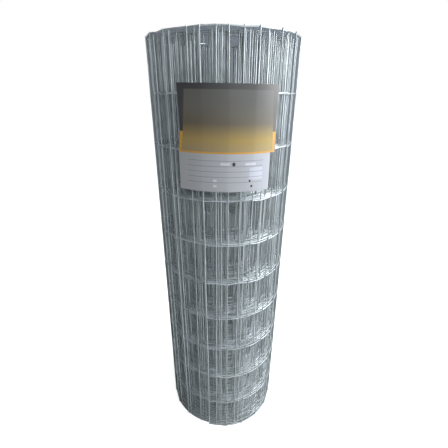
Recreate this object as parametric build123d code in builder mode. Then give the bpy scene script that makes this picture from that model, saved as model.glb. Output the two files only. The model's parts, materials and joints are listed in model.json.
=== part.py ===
"""Roll of welded mesh fencing, standing on end, with the paper label round its front.

The roll is one turned solid: a wall of wound turns round an open bore. Its turns show on
both ends, each as a ridge where the ends of its stays lie, with a groove between it and
the next, and the outermost as the flat ring that the roll stands on. The label is a thin
card bent round the front, with its lower right corner cut back. Millimetres, +Z up,
origin on the roll's axis at the floor, front towards -Y.
"""
import os

from build123d import *

os.makedirs("parts", exist_ok=True)

# Welded mesh: line wires run round the roll and stays run up it, outside them
wire_diameter = 2.2
row_spacing = 100.0
row_count = 10
stay_stub = 2.5

# Winding
bore_radius = 58.0
turn_count = 22
turn_slack = 0.15
groove_depth = 6.0

# Label, with its angles measured from the front, positive to the right
label_thickness = 0.4
label_clearance = 0.3
label_drop = 86.5
label_colour_height = 120.0
label_form_height = 73.5
label_left_angle = -32.0
label_colour_right_angle = 40.0
label_form_right_angle = 36.0

# Sizes that follow from those above
turn_pitch = 2 * wire_diameter + turn_slack
outer_radius = bore_radius + turn_count * turn_pitch
roll_height = row_count * row_spacing + 2 * stay_stub
label_inside_radius = outer_radius + label_clearance
label_top = roll_height - label_drop
label_step = label_top - label_colour_height
label_bottom = label_step - label_form_height
front_angle = -90.0


def lower_end_profile():
    """Points across the lower end, from the bore outwards: a ridge and a groove for each turn."""
    points = [(bore_radius, groove_depth)]
    for turn in range(turn_count - 1):
        ridge = bore_radius + (turn + 1) * turn_pitch - wire_diameter / 2
        points.append((ridge, 0))
        points.append((ridge + turn_pitch / 2, groove_depth))
    points.append((outer_radius - wire_diameter, 0))
    points.append((outer_radius, 0))
    return points


def upper_end_profile():
    """Points across the upper end, from the outside inwards: the lower end mirrored."""
    return [(radius, roll_height - height) for radius, height in reversed(lower_end_profile())]


# Mesh roll
with BuildPart() as mesh_roll:
    with BuildSketch(Plane.XZ):
        with BuildLine():
            Polyline(lower_end_profile() + upper_end_profile(), close=True)
        make_face()
    revolve(axis=Axis.Z)
mesh_roll.part.label = "mesh_roll"
export_step(mesh_roll.part, "parts/mesh_roll.step")


# Paper label: a coloured upper field, and a form below it that stops short on the right
with BuildPart() as label:
    for low, high, right_angle in (
        (label_step, label_top, label_colour_right_angle),
        (label_bottom, label_step, label_form_right_angle),
    ):
        with BuildSketch(Plane.XZ.rotated((0, 0, front_angle + label_left_angle))):
            with Locations((label_inside_radius + label_thickness / 2, (low + high) / 2)):
                Rectangle(label_thickness, high - low)
        revolve(axis=Axis.Z, revolution_arc=right_angle - label_left_angle)
label.part.label = "label"
export_step(label.part, "parts/label.step")
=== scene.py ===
"""Looks of the roll of welded wire fencing: every wire of its winding, its welds and its paper label."""
import json
import math
import random

import bmesh
import bpy
import numpy as np
from mathutils import Matrix, Vector


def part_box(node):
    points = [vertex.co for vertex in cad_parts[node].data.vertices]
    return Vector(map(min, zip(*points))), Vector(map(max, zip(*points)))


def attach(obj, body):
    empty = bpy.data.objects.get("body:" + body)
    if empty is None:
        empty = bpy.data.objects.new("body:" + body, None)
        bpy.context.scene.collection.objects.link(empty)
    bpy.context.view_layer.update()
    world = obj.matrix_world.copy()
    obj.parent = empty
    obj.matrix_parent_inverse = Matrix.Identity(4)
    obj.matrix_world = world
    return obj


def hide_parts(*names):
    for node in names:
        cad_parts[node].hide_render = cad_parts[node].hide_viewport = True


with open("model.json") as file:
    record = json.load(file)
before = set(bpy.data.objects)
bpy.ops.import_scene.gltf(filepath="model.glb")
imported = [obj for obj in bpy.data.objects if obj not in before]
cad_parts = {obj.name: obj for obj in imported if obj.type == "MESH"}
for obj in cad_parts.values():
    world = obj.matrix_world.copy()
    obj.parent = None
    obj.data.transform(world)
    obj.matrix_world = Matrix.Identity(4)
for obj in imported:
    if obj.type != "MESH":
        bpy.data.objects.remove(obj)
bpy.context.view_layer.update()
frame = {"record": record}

# The photograph's frame, in pixels, and the camera fitted to the roll in it
picture_size = 448
sensor_width = 36.0
focal_pixels = 309.1
horizon_shift_pixels = 16.0
eye_distance = 0.7536
eye_height = 0.9026
pitch = math.radians(25.402)
yaw = math.radians(0.264)
roll_turn = math.radians(-0.295)

# Sizes from the frame
mounts = {mount["name"]: mount for mount in frame["record"]["mounts"]}
bore_radius = mounts["core_bore"]["dims"]["r_mm"] / 1000
roll_low, roll_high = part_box("mesh_roll")
label_low, label_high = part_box("label")
outer_radius = roll_high.x
roll_height = roll_high.z

# Welded mesh
cell_width = 0.05
row_spacing = 0.1
row_count = 10
wire_radius = 0.0011
weld_depth = 0.00035
weld_swell = (0.9, 1.15)
weld_reach = 1.25
weld_width = 1.5
weld_height = 1.45
wire_overhang = 0.0025
stay_stub = (roll_height - row_count * row_spacing) / 2
weld_offset = 2 * wire_radius - weld_depth

# Winding: each turn steps in by a pitch along its last stretch, and the loose outermost one by more
turn_count = 22
loose_turns = 1
free_end_azimuth = -14.5
lap_start = 0.82
outer_pitch = 0.006
end_tuck = 0.0022
end_tuck_turns = 0.08
outer_turns = 3
outer_clearance = 0.0004
lining_depth = 0.0005
first_radius = outer_radius - outer_clearance - wire_radius
last_radius = bore_radius + wire_radius + weld_offset
turn_pitch = (first_radius - last_radius - outer_pitch) / (turn_count - 1)

# Unevenness of the wires
random_seed = 11
stay_sway = 0.0005
stay_skew = 0.0022
line_wave = 0.0011
turn_shift = 0.0022
flat_share_outer = 0.35
flat_share_inner = 0.15
corner_share = 0.06
corner_pull = 0.0002
tip_cut = 0.0017

# Tones of the wires, from 0 for dark to 1 for bright, spread at random, with painted light on the line
# wires and painted shade on the inner turns
bright_turns = 2
# Painted light: the line wires' tone is set above the stays', as if lit from above.
stay_tone = 0.6
line_tone = 0.92
# Painted shade: the inner turns' tone is lowered by this much.
inner_painted_shade = 0.12
tone_spread = 0.24

# Label
label_thickness = 0.0003
label_slope = -0.012
label_gap = 0.0001
label_flat_share = 0.2
label_columns = 96
label_left = -32.0
label_right = 40.0
label_form_right = 36.0
label_form_height = 0.0735
amber_height = 0.112
label_height = label_high.z - label_low.z

# The label's left edge, which is a little bent: its azimuth at some heights above its lower edge
edge_heights = [0.0, label_form_height, amber_height, 0.19]
edge_azimuths = [-33.1, -32.9, -31.0, -32.0]


def polar(radius, azimuth, height):
    """A point by its radius and its azimuth in radians, 0 at the front and positive to the right."""
    return (radius * math.sin(azimuth), -radius * math.cos(azimuth), height)


def winding_radius(turns):
    """Radius of a stay's middle after that many turns from the free end, which is drawn in a little."""
    share = max(turns % 1.0 - lap_start, 0.0) / (1.0 - lap_start)
    passed = math.floor(turns) + share * share * (3 - 2 * share)
    tuck = end_tuck * max(0.0, 1.0 - turns / end_tuck_turns)
    return first_radius - tuck - outer_pitch * min(passed, 1.0) - turn_pitch * max(passed - 1.0, 0.0)


class Stay:
    """One stay of the mesh: where it stands in the winding and how it leans at each line wire."""

    def __init__(self, turns, radius, lean, shift):
        self.turns = turns
        self.radius = radius
        self.azimuth = math.radians(free_end_azimuth) + 2 * math.pi * turns
        self.lean = lean
        self.shift = shift

    def crossing(self, row, inwards=0.0):
        """Where this stay crosses the line wire of a row, that far in towards the axis."""
        height = stay_stub + row * row_spacing + self.shift
        return polar(self.radius - inwards, self.azimuth + self.lean[row] / self.radius, height)


def wind():
    """The stays from the free end inwards, a cell's width apart along the polygon that they make."""
    chance = random.Random(random_seed)
    shifts = [0.0, 0.0] + [chance.uniform(-turn_shift, turn_shift) for _ in range(turn_count)]
    stays = []
    turns = 0.0
    while turns < turn_count:
        radius = winding_radius(turns)
        skew = chance.gauss(0, stay_skew)
        lean = [skew * (2 * row / row_count - 1) + chance.gauss(0, stay_sway)
                for row in range(row_count + 1)]
        shift = np.interp(turns, range(len(shifts)), shifts)
        stays.append(Stay(turns, radius, lean, float(shift)))
        turns += 2 * math.asin(cell_width / (2 * radius)) / (2 * math.pi)
    return stays


def wire_tone(stay, outer_tone, chance):
    """Tone of a stretch of wire at a stay: spread at random, and darker inside the outer turns as painted
    shade.
    """
    middle = outer_tone if stay.turns < bright_turns else outer_tone - inner_painted_shade
    return min(max(chance.gauss(middle, tone_spread), 0.0), 1.0)


class Wires:
    """Wires gathered into one mesh, with the tone of each stretch."""

    def __init__(self):
        self.points = []
        self.faces = []
        self.tones = []

    def count(self):
        return len(self.tones)

    def tube(self, path, tones, radius, sides, reference):
        """Adds a round wire along a path, with a tone for each point of it, closed at both ends."""
        path = np.array(path)
        along = np.gradient(path, axis=0)
        along /= np.linalg.norm(along, axis=1)[:, None]
        across = np.cross(along, reference)
        across /= np.linalg.norm(across, axis=1)[:, None]
        over = np.cross(across, along)
        angle = np.arange(sides) * 2 * math.pi / sides
        ring = np.cos(angle)[None, :, None] * across[:, None, :]
        ring = ring + np.sin(angle)[None, :, None] * over[:, None, :]
        start = self.count()
        self.points.extend((path[:, None, :] + radius * ring).reshape(-1, 3).tolist())
        for i in range(len(path) - 1):
            near = start + i * sides
            far = near + sides
            for j in range(sides):
                k = (j + 1) % sides
                self.faces.append((near + j, far + j, far + k, near + k))
        last = start + (len(path) - 1) * sides
        self.faces.append(tuple(start + j for j in range(sides)))
        self.faces.append(tuple(last + j for j in reversed(range(sides))))
        self.tones.extend(tone for tone in tones for _ in range(sides))

    def add(self, points, faces, tone):
        """Adds a ready form."""
        start = self.count()
        self.points.extend(points)
        self.faces.extend(tuple(start + i for i in face) for face in faces)
        self.tones.extend([tone] * len(points))

    def piece(self, name, material, sharp=50.0):
        """Makes the piece, which stands for the roll's solid, with the material given."""
        mesh = bpy.data.meshes.new(name)
        mesh.from_pydata(self.points, [], self.faces)
        mesh.polygons.foreach_set("use_smooth", [True] * len(mesh.polygons))
        mesh.set_sharp_from_angle(angle=math.radians(sharp))
        tone = mesh.attributes.new("tone", "FLOAT", "POINT")
        tone.data.foreach_set("value", self.tones)
        mesh.materials.append(material)
        made = bpy.data.objects.new(name, mesh)
        bpy.context.scene.collection.objects.link(made)
        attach(made, "root")
        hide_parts("mesh_roll")
        return made


def within_height(height, clearance=0.0):
    """A height kept between the roll's two ends."""
    return min(max(height, clearance), roll_height - clearance)


def stay_path(stay, chance, middles):
    """Points up a stay: its ends, its crossings and, on outer turns, a point between each two."""
    foot = Vector(stay.crossing(0))
    head = Vector(stay.crossing(row_count))
    path = [(foot.x, foot.y, within_height(foot.z - stay_stub + chance.uniform(0.0, tip_cut)))]
    for row in range(row_count + 1):
        here = Vector(stay.crossing(row))
        path.append(tuple(here))
        if middles and row < row_count:
            middle = (here + Vector(stay.crossing(row + 1))) / 2
            inwards = 1 - abs(chance.gauss(0, stay_sway / 2)) / stay.radius
            path.append((middle.x * inwards, middle.y * inwards, middle.z))
    path.append((head.x, head.y, within_height(head.z + stay_stub - chance.uniform(0.0, tip_cut))))
    return path


def make_stays(stays, name, sides, middles, material):
    """A set of stays as one piece."""
    chance = random.Random(name)
    wires = Wires()
    for stay in stays:
        path = stay_path(stay, chance, middles)
        tones = [wire_tone(stay, stay_tone, chance)] * len(path)
        wires.tube(path, tones, wire_radius, sides, (1.0, 0.0, 0.0))
    return wires.piece(name, material)


def between(start, end, share, flat_share):
    """A point part of the way from one weld to the next, between the straight line and the arc."""
    straight = start.lerp(end, share)
    radius = start.xy.length * (1 - share) + end.xy.length * share
    arc = straight.xy.normalized() * radius
    x, y = straight.xy.lerp(arc, 1 - flat_share)
    return Vector((x, y, straight.z))


def line_wire_path(stays, row, chance):
    """Points and tones along one line wire, bent at each stay, with a short end past either end."""
    welds = [Vector(stay.crossing(row, weld_offset)) for stay in stays]
    path = [welds[0] + (welds[0] - welds[1]).normalized() * wire_overhang]
    tones = [wire_tone(stays[0], line_tone, chance)]
    for i, weld in enumerate(welds):
        pull = 1 - corner_pull / stays[i].radius
        path.append(Vector((weld.x * pull, weld.y * pull, weld.z)))
        tones.append(wire_tone(stays[i], line_tone, chance))
        if i + 1 == len(welds):
            break
        flat_share = flat_share_outer if stays[i + 1].turns < loose_turns else flat_share_inner
        for share in (corner_share, 0.5, 1 - corner_share):
            point = between(weld, welds[i + 1], share, flat_share)
            if share == 0.5:
                point.z += chance.gauss(0, line_wave)
            path.append(point)
            tones.append(tones[-1])
    path.append(welds[-1] + (welds[-1] - welds[-2]).normalized() * wire_overhang)
    tones.append(tones[-1])
    for point in path:
        point.z = within_height(point.z, wire_radius)
    return path, tones


def make_line_wires(stays, name, sides, material):
    """All the line wires along a run of stays as one piece."""
    chance = random.Random(name)
    wires = Wires()
    for row in range(row_count + 1):
        path, tones = line_wire_path(stays, row, chance)
        wires.tube(path, tones, wire_radius, sides, (0.0, 0.0, 1.0))
    return wires.piece(name, material)


def unit_ball():
    """Points and faces of a small ball."""
    shape = bpy.data.meshes.new("unit_ball")
    mesh = bmesh.new()
    bmesh.ops.create_icosphere(mesh, subdivisions=1, radius=1.0)
    mesh.to_mesh(shape)
    mesh.free()
    points = [tuple(vertex.co) for vertex in shape.vertices]
    faces = [tuple(polygon.vertices) for polygon in shape.polygons]
    bpy.data.meshes.remove(shape)
    return points, faces


def make_welds(stays, name, material):
    """The squeezed lump of metal at each crossing of the outer turns, and at both ends of every turn."""
    chance = random.Random(name)
    ball, faces = unit_ball()
    welds = Wires()
    for stay in stays:
        for row in range(row_count + 1):
            if stay.turns > outer_turns and 0 < row < row_count:
                continue
            centre = Vector(stay.crossing(row, weld_offset / 2))
            out = centre.xy.normalized()
            size = wire_radius * chance.uniform(*weld_swell)
            depth = weld_reach * size
            width = weld_width * size
            tall = weld_height * size
            points = []
            for x, y, z in ball:
                level = within_height(centre.z + z * tall)
                place = centre.xy + out * (x * depth) + Vector((-out.y, out.x)) * (y * width)
                points.append((place.x, place.y, level))
            welds.add(points, faces, wire_tone(stay, stay_tone, chance))
    return welds.piece(name, material, sharp=80.0)


# Node helpers
class Nodes:
    """A material's node tree with short ways to make and join its nodes."""

    def __init__(self, name):
        self.material = bpy.data.materials.new(name)
        self.material.use_nodes = True
        self.tree = self.material.node_tree
        self.shader = self.tree.nodes["Principled BSDF"]

    def set(self, socket, value):
        """Joins a socket to another, or sets its value."""
        if isinstance(value, bpy.types.NodeSocket):
            self.tree.links.new(value, socket)
        else:
            socket.default_value = value

    def math(self, operation, *values, clamp=False):
        node = self.tree.nodes.new("ShaderNodeMath")
        node.operation = operation
        node.use_clamp = clamp
        for socket, value in zip(node.inputs, values):
            self.set(socket, value)
        return node.outputs[0]

    def mix(self, factor, first, second, blend="MIX"):
        node = self.tree.nodes.new("ShaderNodeMix")
        node.data_type = "RGBA"
        node.blend_type = blend
        colours = [socket for socket in node.inputs if socket.type == "RGBA"]
        self.set(node.inputs[0], factor)
        self.set(colours[0], first)
        self.set(colours[1], second)
        return next(socket for socket in node.outputs if socket.type == "RGBA")

    def noise(self, scale, detail=3.0, stretch=(1.0, 1.0, 1.0)):
        place = self.tree.nodes.new("ShaderNodeTexCoord")
        mapping = self.tree.nodes.new("ShaderNodeMapping")
        mapping.inputs["Scale"].default_value = stretch
        node = self.tree.nodes.new("ShaderNodeTexNoise")
        node.inputs["Scale"].default_value = scale
        node.inputs["Detail"].default_value = detail
        self.tree.links.new(place.outputs["Object"], mapping.inputs["Vector"])
        self.tree.links.new(mapping.outputs[0], node.inputs["Vector"])
        return node.outputs["Fac"]

    def remap(self, value, low, high, to_low, to_high):
        node = self.tree.nodes.new("ShaderNodeMapRange")
        for socket, number in zip(node.inputs, (value, low, high, to_low, to_high)):
            self.set(socket, number)
        return node.outputs[0]

    def attribute(self, name):
        node = self.tree.nodes.new("ShaderNodeAttribute")
        node.attribute_name = name
        return node.outputs["Fac"]

    def bump(self, height, strength, distance):
        node = self.tree.nodes.new("ShaderNodeBump")
        node.inputs["Strength"].default_value = strength
        node.inputs["Distance"].default_value = distance
        self.tree.links.new(height, node.inputs["Height"])
        self.tree.links.new(node.outputs[0], self.shader.inputs["Normal"])


def colour(red, green, blue):
    """A colour given as it looks on screen, 0 to 255, made linear."""
    def linear(value):
        share = value / 255
        return share / 12.92 if share <= 0.04045 else ((share + 0.055) / 1.055) ** 2.4
    return (linear(red), linear(green), linear(blue), 1.0)


def zinc_material(name, dark, light, metallic, roughness):
    """Galvanised wire: each wire its own grey, with cloudy zinc bloom, dull spots and a grainy skin; the
    grey also holds painted light on the line wires and painted shade on the inner turns.
    """
    nodes = Nodes(name)
    cloud = nodes.noise(35.0, 4.0)
    spangle = nodes.noise(420.0, 2.0)
    streak = nodes.noise(160.0, 3.0, (1.0, 1.0, 0.08))
    # The tone attribute carries each wire's random grey, painted light on the line wires and painted
    # shade on the inner turns.
    tone = nodes.math("MULTIPLY", nodes.attribute("tone"), 0.75)
    tone = nodes.math("ADD", tone, nodes.remap(cloud, 0.35, 0.65, -0.1, 0.2))
    tone = nodes.math("ADD", tone, nodes.remap(streak, 0.3, 0.7, -0.05, 0.12), clamp=True)
    grey = nodes.mix(tone, dark, light)
    bloom = nodes.remap(spangle, 0.55, 0.75, 0.0, 0.35)
    base = nodes.mix(bloom, grey, colour(206, 212, 218))
    nodes.set(nodes.shader.inputs["Base Color"], base)
    nodes.set(nodes.shader.inputs["Metallic"], metallic)
    rough = nodes.math("ADD", nodes.remap(spangle, 0.3, 0.7, roughness - 0.08, roughness + 0.1),
                       nodes.remap(cloud, 0.3, 0.7, -0.03, 0.06))
    nodes.set(nodes.shader.inputs["Roughness"], rough)
    nodes.bump(nodes.math("ADD", spangle, nodes.math("MULTIPLY", streak, 0.6)), 0.35, 0.00025)
    return nodes.material


# Making the pieces
zinc = zinc_material("zinc_wire", colour(112, 120, 117), colour(196, 204, 210), 0.62, 0.42)

stays = wind()
outer_stays = [stay for stay in stays if stay.turns <= outer_turns]
inner_stays = stays[len(outer_stays):]
make_stays(outer_stays, "outer_stays", 12, True, zinc)
make_stays(inner_stays, "inner_stays", 8, False, zinc)
make_line_wires(stays[:len(outer_stays) + 1], "outer_line_wires", 12, zinc)
make_line_wires(stays[len(outer_stays):], "inner_line_wires", 8, zinc)
make_welds(stays, "welds", zinc)


def label_radius(azimuth):
    """Radius of the label's back, which lies straight between the stays that carry it."""
    cell = 2 * math.degrees(math.asin(cell_width / (2 * first_radius)))
    share = ((azimuth - free_end_azimuth) / cell) % 1.0
    sag = first_radius * (1 - math.cos(math.radians(cell / 2)))
    hollow = label_flat_share * sag * (1 - (2 * share - 1) ** 2)
    return -label_low.y - label_thickness - label_gap - hollow


def make_label(name, material):
    """The paper label: a thin bent sheet with its lower part cut back on the right."""
    span = label_right - label_left
    form_columns = round(label_columns * (label_form_right - label_left) / span)
    rows = [0.0, label_form_height, amber_height, label_height]
    azimuths = [label_left + span * i / label_columns for i in range(label_columns + 1)]
    azimuths[form_columns] = label_form_right
    points = []
    flat = []
    for depth in (label_thickness, 0.0):
        for height in rows:
            shift = np.interp(height, edge_heights, edge_azimuths) - label_left
            for azimuth in azimuths:
                radius = label_radius(azimuth) + depth
                bent = math.radians(azimuth + shift * (label_right - azimuth) / span)
                tilt = label_slope * -label_low.y * (bent - math.radians(label_left + label_right) / 2)
                points.append(polar(radius, bent, label_low.z + height + tilt))
                flat.append((math.radians(azimuth - label_left) * -label_low.y, height))
    width = label_columns + 1
    layer = width * len(rows)
    faces = []
    rim = {}
    for row in range(len(rows) - 1):
        for column in range(form_columns if rows[row] < label_form_height else label_columns):
            first = row * width + column
            corners = (first, first + 1, first + 1 + width, first + width)
            faces.append(corners)
            faces.append(tuple(layer + i for i in reversed(corners)))
            for a, b in zip(corners, corners[1:] + corners[:1]):
                if (b, a) in rim:
                    del rim[(b, a)]
                else:
                    rim[(a, b)] = True
    faces.extend((b, a, layer + a, layer + b) for a, b in rim)
    used = sorted({i for face in faces for i in face})
    place = {old: new for new, old in enumerate(used)}
    mesh = bpy.data.meshes.new(name)
    mesh.from_pydata([points[i] for i in used], [], [tuple(place[i] for i in face) for face in faces])
    sheet = mesh.uv_layers.new(name="sheet")
    for loop in mesh.loops:
        sheet.data[loop.index].uv = flat[used[loop.vertex_index]]
    mesh.polygons.foreach_set("use_smooth", [True] * len(mesh.polygons))
    mesh.set_sharp_from_angle(angle=math.radians(40))
    mesh.materials.append(material)
    made = bpy.data.objects.new(name, mesh)
    bpy.context.scene.collection.objects.link(made)
    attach(made, "root")
    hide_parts("label")
    return made


def label_material(name):
    """Plain printed paper: a charcoal and amber field with a bare panel, above a blank ruled form."""
    nodes = Nodes(name)
    place = nodes.tree.nodes.new("ShaderNodeUVMap")
    place.uv_map = "sheet"
    apart = nodes.tree.nodes.new("ShaderNodeSeparateXYZ")
    nodes.tree.links.new(place.outputs[0], apart.inputs[0])
    across, up = apart.outputs[0], apart.outputs[1]
    width = math.radians(label_right - label_left) * -label_low.y

    def past(value, level):
        """0 below a level and 1 above it, with a soft edge."""
        edge = 0.0004
        return nodes.remap(nodes.math("SUBTRACT", value, level), -edge, edge, 0.0, 1.0)

    def box(left, right, low, high):
        """1 inside a box on the sheet."""
        sides = nodes.math("SUBTRACT", past(across, left), past(across, right))
        ends = nodes.math("SUBTRACT", past(up, low), past(up, high))
        return nodes.math("MULTIPLY", sides, ends)

    def spot(x, y, half_width, half_height):
        """1 inside an oval on the sheet."""
        east = nodes.math("DIVIDE", nodes.math("SUBTRACT", across, x), half_width)
        north = nodes.math("DIVIDE", nodes.math("SUBTRACT", up, y), half_height)
        reach = nodes.math("SQRT", nodes.math("ADD", nodes.math("MULTIPLY", east, east),
                                              nodes.math("MULTIPLY", north, north)))
        return nodes.remap(reach, 0.85, 1.15, 1.0, 0.0)

    def fade(left, right):
        """A colour that changes evenly from the sheet's left edge to its right."""
        return nodes.mix(nodes.remap(across, 0.0, width, 0.0, 1.0), colour(*left), colour(*right))

    panel_low = label_form_height + 0.0035
    panel_high = label_height - 0.0098
    panel_left = nodes.remap(up, amber_height, panel_high, 0.0066, 0.0153)
    panel_right = nodes.remap(up, panel_low, panel_high, width - 0.005, width - 0.0125)
    # The charcoal print is lighter towards the right as painted sheen.
    charcoal = fade((48, 48, 51), (66, 66, 66))
    amber = fade((178, 132, 48), (176, 132, 52))
    field = nodes.mix(past(up, amber_height), amber, charcoal)
    panel = nodes.mix(nodes.remap(up, 0.077, 0.096, 0.0, 1.0), fade((134, 118, 90), (140, 124, 84)),
                      fade((144, 120, 72), (142, 122, 58)))
    panel = nodes.mix(nodes.remap(up, 0.098, 0.128, 0.0, 1.0), panel, fade((88, 78, 60), (86, 80, 68)))
    panel = nodes.mix(nodes.remap(up, 0.12, 0.165, 0.0, 1.0), panel, fade((86, 84, 78), (76, 77, 78)))
    field = nodes.mix(box(panel_left, panel_right, panel_low, panel_high), field, panel)
    form = fade((153, 153, 154), (152, 156, 165))
    form = nodes.mix(box(0.1424, 0.1712, 0.0237, 0.0478), form, colour(168, 171, 182))
    rule_count = 5
    rule_top = 0.0602
    rule_step = 0.01045
    rule_left, rule_right = 0.0195, 0.172
    rule_thickness = 0.0007
    for i in range(rule_count):
        height = rule_top - rule_step * i
        rule = box(rule_left, rule_right, height, height + rule_thickness)
        form = nodes.mix(rule, form, colour(98, 100, 108))
    blank_height = 0.0045
    for left, right, low in ((0.0855, 0.103, 0.0525), (0.134, 0.155, 0.052),
                             (0.071, 0.078, 0.0095), (0.071, 0.078, 0.02)):
        form = nodes.mix(box(left, right, low, low + blank_height), form, colour(182, 184, 192))
    for x, y, half_width, half_height in ((0.1109, 0.0544, 0.0031, 0.0038),
                                          (0.1436, 0.0214, 0.0021, 0.0024),
                                          (0.1478, 0.0105, 0.0023, 0.0026)):
        form = nodes.mix(spot(x, y, half_width, half_height), form, colour(20, 20, 22))
    base = nodes.mix(past(up, label_form_height), form, field)
    fibre = nodes.noise(900.0, 3.0)
    stain = nodes.noise(18.0, 3.0)
    base = nodes.mix(nodes.remap(stain, 0.45, 0.75, 0.0, 0.12), base, colour(110, 106, 98))
    base = nodes.mix(nodes.remap(fibre, 0.4, 0.7, 0.0, 0.05), base, colour(70, 70, 70))
    nodes.set(nodes.shader.inputs["Base Color"], base)
    nodes.set(nodes.shader.inputs["Roughness"], nodes.remap(stain, 0.3, 0.7, 0.42, 0.55))
    nodes.bump(nodes.math("ADD", fibre, nodes.math("MULTIPLY", stain, 2.0)), 0.2, 0.0003)
    return nodes.material


make_label("paper_label", label_material("printed_paper"))


# Floor, backdrop and light
def make_floor():
    """A pale floor that keeps the roll's shadow and is white to the camera elsewhere."""
    reach = 30.0
    mesh = bpy.data.meshes.new("floor")
    corners = [(-reach, -reach, 0), (reach, -reach, 0), (reach, reach, 0), (-reach, reach, 0)]
    mesh.from_pydata(corners, [], [(0, 1, 2, 3)])
    floor = bpy.data.objects.new("floor", mesh)
    bpy.context.scene.collection.objects.link(floor)
    nodes = Nodes("pale_floor")
    grain = nodes.noise(3.0, 3.0)
    base = nodes.mix(nodes.remap(grain, 0.3, 0.7, 0.0, 1.0), (0.66, 0.66, 0.66, 1), (0.69, 0.69, 0.69, 1))
    nodes.set(nodes.shader.inputs["Base Color"], base)
    nodes.set(nodes.shader.inputs["Roughness"], 0.9)
    rays = nodes.tree.nodes.new("ShaderNodeLightPath")
    nodes.set(nodes.shader.inputs["Emission Color"], (1.0, 1.0, 1.0, 1.0))
    nodes.set(nodes.shader.inputs["Emission Strength"],
              nodes.math("MULTIPLY", rays.outputs["Is Camera Ray"], 0.75))
    mesh.materials.append(nodes.material)


def make_inner_backdrop(stays):
    """A glowing lining just inside the outermost turn, of which only the camera sees anything, and only
    its
    inside: painted shade of the roll's inside, seen through the mesh. Its greys are graded from left to
    right and upwards to suit the photograph's view, as painted light, and its darker streaks are painted
    shade."""
    outline = []
    for stay, following in zip(stays, stays[1:]):
        if stay.turns < loose_turns:
            here = Vector(polar(stay.radius - lining_depth, stay.azimuth, 0))
            there = Vector(polar(following.radius - lining_depth, following.azimuth, 0))
            outline.extend((here, between(here, there, 0.5, flat_share_outer)))
    sides = len(outline)
    levels = (0.001, roll_height - 0.004)
    mesh = bpy.data.meshes.new("inner_backdrop")
    points = [(point.x, point.y, level) for level in levels for point in outline]
    faces = [(i, (i + 1) % sides, sides + (i + 1) % sides, sides + i) for i in range(sides)]
    faces.append(tuple(reversed(range(sides))))
    faces.append(tuple(range(sides, 2 * sides)))
    mesh.from_pydata(points, [], faces)
    nodes = Nodes("painted_shade_lining")
    place = nodes.tree.nodes.new("ShaderNodeTexCoord")
    apart = nodes.tree.nodes.new("ShaderNodeSeparateXYZ")
    nodes.tree.links.new(place.outputs["Object"], apart.inputs[0])
    side = nodes.remap(apart.outputs[0], -outer_radius, outer_radius, 0.0, 1.0)
    height = nodes.remap(apart.outputs[2], 0.2, 0.9, 0.0, 1.0)
    # Painted light: the glow is lighter to the right and upwards, as if lit from the right and above.
    low = nodes.mix(side, colour(62, 65, 62), colour(138, 147, 148))
    high = nodes.mix(side, colour(106, 114, 120), colour(148, 158, 170))
    base = nodes.mix(height, low, high)
    # Painted shade: darker vertical streaks stand for shaded wires deeper in the roll.
    shaded_wire_streaks = nodes.noise(150.0, 3.0, (1.0, 1.0, 0.04))
    base = nodes.mix(nodes.remap(shaded_wire_streaks, 0.35, 0.65, 0.0, 0.5), base, colour(58, 63, 64))
    # The lining glows as painted shade of the roll's inside; it is no lamp.
    glow = nodes.tree.nodes.new("ShaderNodeEmission")
    nodes.set(glow.inputs["Color"], base)
    clear = nodes.tree.nodes.new("ShaderNodeBsdfTransparent")
    facing = nodes.tree.nodes.new("ShaderNodeNewGeometry")
    mix = nodes.tree.nodes.new("ShaderNodeMixShader")
    nodes.set(mix.inputs[0], facing.outputs["Backfacing"])
    nodes.set(mix.inputs[1], clear.outputs[0])
    nodes.set(mix.inputs[2], glow.outputs[0])
    output = nodes.tree.nodes["Material Output"]
    nodes.set(output.inputs["Surface"], mix.outputs[0])
    mesh.materials.append(nodes.material)
    lining = bpy.data.objects.new("inner_backdrop", mesh)
    lining.visible_diffuse = False
    lining.visible_glossy = False
    lining.visible_transmission = False
    lining.visible_shadow = False
    bpy.context.scene.collection.objects.link(lining)


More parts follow.
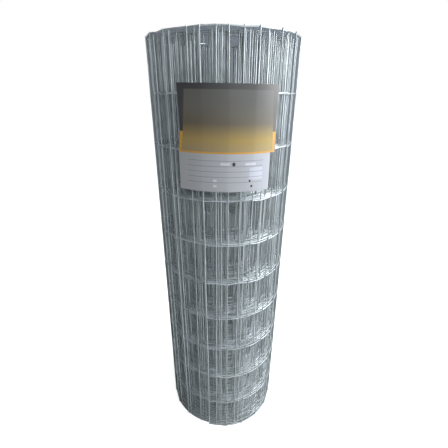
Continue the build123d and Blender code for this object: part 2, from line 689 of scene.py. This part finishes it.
def make_world():
    """A soft surround, darker on the left and behind, and plain white behind the roll."""
    bright_side = (0.92, -0.38, -0.06)
    world = bpy.data.worlds.new("surround")
    bpy.context.scene.world = world
    world.use_nodes = True
    tree = world.node_tree
    tree.nodes.clear()
    place = tree.nodes.new("ShaderNodeTexCoord")
    towards = tree.nodes.new("ShaderNodeVectorMath")
    towards.operation = "DOT_PRODUCT"
    towards.inputs[1].default_value = bright_side
    tree.links.new(place.outputs["Generated"], towards.inputs[0])
    shade = tree.nodes.new("ShaderNodeMapRange")
    tree.links.new(towards.outputs["Value"], shade.inputs["Value"])
    shade.inputs["From Min"].default_value = -0.75
    shade.inputs["From Max"].default_value = 0.9
    shade.inputs["To Min"].default_value = 0.08
    shade.inputs["To Max"].default_value = 1.12
    soft = tree.nodes.new("ShaderNodeBackground")
    tint = tree.nodes.new("ShaderNodeMix")
    tint.data_type = "RGBA"
    colours = [socket for socket in tint.inputs if socket.type == "RGBA"]
    colours[0].default_value = (1.0, 1.0, 0.96, 1.0)
    colours[1].default_value = (0.86, 0.94, 1.0, 1.0)
    tree.links.new(shade.outputs[0], tint.inputs[0])
    tree.links.new(next(socket for socket in tint.outputs if socket.type == "RGBA"), soft.inputs["Color"])
    tree.links.new(shade.outputs[0], soft.inputs["Strength"])
    white = tree.nodes.new("ShaderNodeBackground")
    white.inputs["Color"].default_value = (1.0, 1.0, 1.0, 1.0)
    rays = tree.nodes.new("ShaderNodeLightPath")
    mix = tree.nodes.new("ShaderNodeMixShader")
    tree.links.new(rays.outputs["Is Camera Ray"], mix.inputs[0])
    tree.links.new(soft.outputs[0], mix.inputs[1])
    tree.links.new(white.outputs[0], mix.inputs[2])
    output = tree.nodes.new("ShaderNodeOutputWorld")
    tree.links.new(mix.outputs[0], output.inputs[0])


def make_light(name, place, target, size, power, tint):
    """A soft square light aimed at a point."""
    light = bpy.data.lights.new(name, "AREA")
    light.size = size
    light.energy = power
    light.color = tint
    lamp = bpy.data.objects.new(name, light)
    lamp.location = place
    lamp.rotation_euler = (Vector(target) - Vector(place)).to_track_quat("-Z", "Y").to_euler()
    bpy.context.scene.collection.objects.link(lamp)


def make_camera():
    """The camera of the photograph."""
    ahead = Vector((math.sin(yaw) * math.cos(pitch), math.cos(yaw) * math.cos(pitch), -math.sin(pitch)))
    level = Vector((math.cos(yaw), -math.sin(yaw), 0.0))
    upright = level.cross(ahead)
    right = level * math.cos(roll_turn) - upright * math.sin(roll_turn)
    top = level * math.sin(roll_turn) + upright * math.cos(roll_turn)
    camera = bpy.data.cameras.new("camera")
    camera.sensor_width = sensor_width
    camera.lens = focal_pixels / picture_size * sensor_width
    camera.shift_y = horizon_shift_pixels / picture_size
    camera.clip_start = 0.01
    eye = bpy.data.objects.new("camera", camera)
    turn = Matrix((right, top, -ahead)).transposed().to_4x4()
    eye.matrix_world = Matrix.Translation((0.0, -eye_distance, eye_height)) @ turn
    bpy.context.scene.collection.objects.link(eye)
    bpy.context.scene.camera = eye


make_floor()
make_inner_backdrop(stays)
make_world()
make_light("key", (2.1, -0.12, 1.5), (0.0, 0.0, 0.4), 1.7, 108.0, (1.0, 0.99, 0.98))
make_light("front", (0.7, -1.9, 1.6), (0.0, 0.0, 0.5), 1.2, 12.0, (0.95, 0.98, 1.0))
make_camera()
bpy.context.scene.view_settings.view_transform = "Standard"

bpy.context.view_layer.update()
